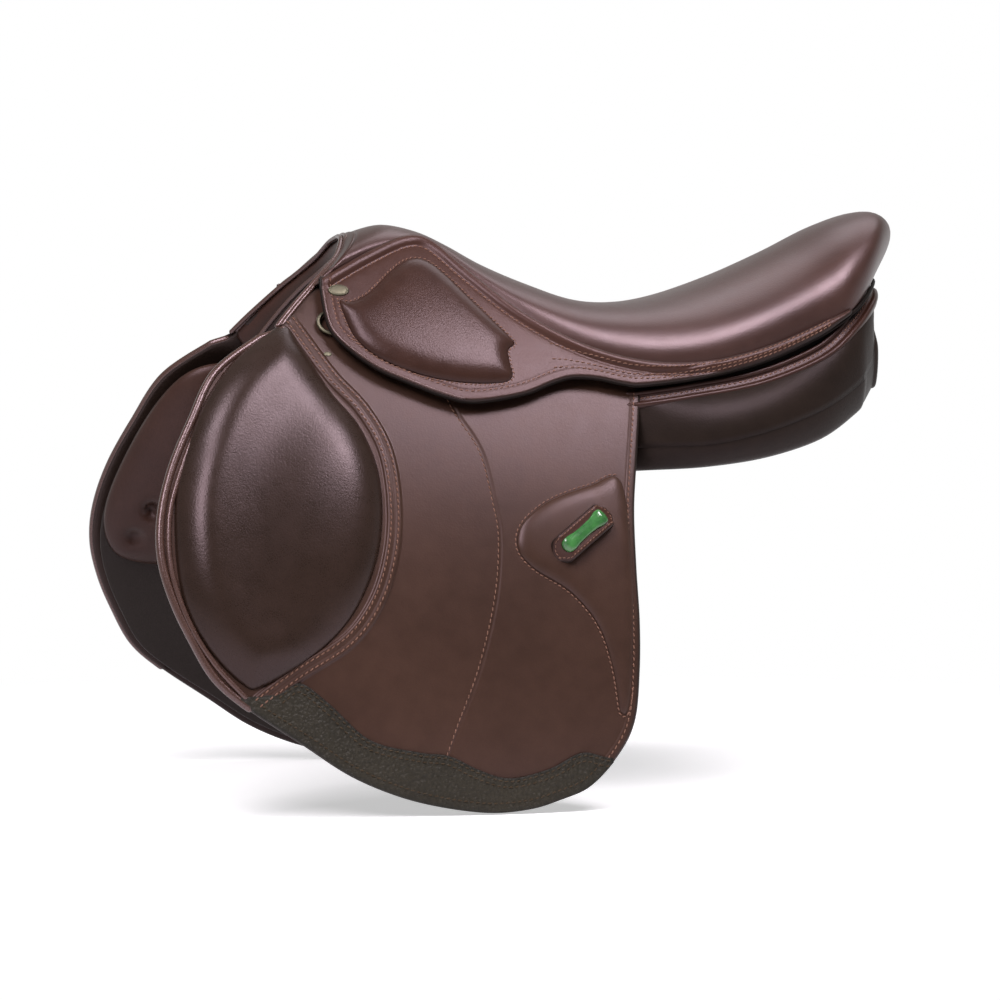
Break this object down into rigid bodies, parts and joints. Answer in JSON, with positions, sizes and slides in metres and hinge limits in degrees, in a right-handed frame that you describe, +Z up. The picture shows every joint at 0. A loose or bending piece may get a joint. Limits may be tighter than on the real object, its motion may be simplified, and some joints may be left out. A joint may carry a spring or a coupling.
{
  "type": "jumping saddle",
  "caption": "Close-contact jumping saddle: padded seat on a wooden tree, lifting flaps and skirts with knee pads, stirrup bars with catches, girth straps and two panels.",
  "frame": {"origin": "on the centre plane, on the spine line that the panels bear beside, under the middle of the saddle", "axes": "+X forward to the pommel, +Y to the horse's left, +Z up"},
  "size_m": [0.5825, 0.4136, 0.4243],
  "materials": {
    "leather": "satin",
    "rim_leather": "pebbled",
    "dark_leather": "satin",
    "lining_leather": "smooth",
    "wood": "laminated",
    "steel": "satin",
    "webbing": "woven",
    "foam": "open cell",
    "brass": "polished",
    "enamel": "gloss"
  },
  "bodies": {
    "saddle": {"tree_head": "wood", "tree_rail_left": "wood", "tree_rail_right": "wood", "tree_cantle": "wood", "head_plate": "steel", "head_rivets": "steel", "stirrup_bar_left": "steel", "stirrup_bar_right": "steel", "bar_rivets": "steel", "catch_pins": "steel", "seat_web": "webbing", "girth_web_left": "webbing", "girth_web_right": "webbing", "seat_foam": "foam", "seat_cover": "leather", "seat_welt": "dark_leather", "skirt_top_left": "leather", "skirt_top_right": "leather", "flap_top_left": "leather", "flap_top_right": "leather", "sweat_flap_left": "lining_leather", "sweat_flap_right": "lining_leather", "knee_block_left": "foam", "knee_block_right": "foam", "buckle_guard_left": "lining_leather", "buckle_guard_right": "lining_leather", "panel_left": "leather", "panel_right": "leather", "panel_lobe_left": "leather", "panel_lobe_right": "leather", "front_facing": "leather", "rear_facing": "leather", "channel_lining": "lining_leather", "dee_chapes": "leather", "saddle_nails": "brass"},
    "flap_left": {"flap_left": "leather", "knee_pad_left": "leather", "calf_pad_left": "leather", "toe_rim_left": "rim_leather", "keeper_left": "leather", "keeper_plate_left": "enamel"},
    "skirt_left": {"skirt_left": "leather", "skirt_pad_left": "leather"},
    "catch_left": {"catch_left": "steel"},
    "dee_left": {"dee_left": "brass"},
    "strap_front_left": {"strap_front_left": "dark_leather"},
    "strap_rear_left": {"strap_rear_left": "dark_leather"},
    "flap_right": {"flap_right": "leather", "knee_pad_right": "leather", "calf_pad_right": "leather", "toe_rim_right": "rim_leather", "keeper_right": "leather", "keeper_plate_right": "enamel"},
    "skirt_right": {"skirt_right": "leather", "skirt_pad_right": "leather"},
    "catch_right": {"catch_right": "steel"},
    "dee_right": {"dee_right": "brass"},
    "strap_front_right": {"strap_front_right": "dark_leather"},
    "strap_rear_right": {"strap_rear_right": "dark_leather"}
  },
  "joints": [
    {"name": "flap_left_lift", "type": "hinge", "parent": "saddle", "child": "flap_left", "pos_m": [0.07292, 0.13625, 0.00448], "axis": [0.8718, -0.2347, 0.43], "range_deg": [0, 70]},
    {"name": "skirt_left_lift", "type": "hinge", "parent": "saddle", "child": "skirt_left", "pos_m": [0.06943, 0.12055, 0.06243], "axis": [0.9247, -0.215, 0.3143], "range_deg": [0, 60]},
    {"name": "catch_left_turn", "type": "hinge", "parent": "saddle", "child": "catch_left", "pos_m": [0.05195, 0.09902, 0.06771], "axis": [0, 0.8086, 0.5883], "range_deg": [0, 80]},
    {"name": "dee_left_swing", "type": "hinge", "parent": "saddle", "child": "dee_left", "pos_m": [0.13795, 0.0991, 0.06777], "axis": [0, -0.5883, 0.8086], "range_deg": [0, 6]},
    {"name": "strap_front_left_swing", "type": "hinge", "parent": "saddle", "child": "strap_front_left", "pos_m": [0.08795, 0.12669, 0.00125], "axis": [0, 0.8762, 0.4819], "range_deg": [-3.5, 3.5]},
    {"name": "strap_rear_left_swing", "type": "hinge", "parent": "saddle", "child": "strap_rear_left", "pos_m": [0.0295, 0.12669, 0.00125], "axis": [0, 0.8762, 0.4819], "range_deg": [-3.5, 3.5]},
    {"name": "flap_right_lift", "type": "hinge", "parent": "saddle", "child": "flap_right", "pos_m": [0.07292, -0.13625, 0.00448], "axis": [-0.8718, -0.2347, -0.43], "range_deg": [0, 70]},
    {"name": "skirt_right_lift", "type": "hinge", "parent": "saddle", "child": "skirt_right", "pos_m": [0.06943, -0.12055, 0.06243], "axis": [-0.9247, -0.215, -0.3143], "range_deg": [0, 60]},
    {"name": "catch_right_turn", "type": "hinge", "parent": "saddle", "child": "catch_right", "pos_m": [0.05195, -0.09902, 0.06771], "axis": [0, 0.8086, -0.5883], "range_deg": [0, 80]},
    {"name": "dee_right_swing", "type": "hinge", "parent": "saddle", "child": "dee_right", "pos_m": [0.13795, -0.0991, 0.06777], "axis": [0, -0.5883, -0.8086], "range_deg": [0, 6]},
    {"name": "strap_front_right_swing", "type": "hinge", "parent": "saddle", "child": "strap_front_right", "pos_m": [0.08795, -0.12669, 0.00125], "axis": [0, 0.8762, -0.4819], "range_deg": [-3.5, 3.5]},
    {"name": "strap_rear_right_swing", "type": "hinge", "parent": "saddle", "child": "strap_rear_right", "pos_m": [0.0295, -0.12669, 0.00125], "axis": [0, 0.8762, -0.4819], "range_deg": [-3.5, 3.5]}
  ]
}
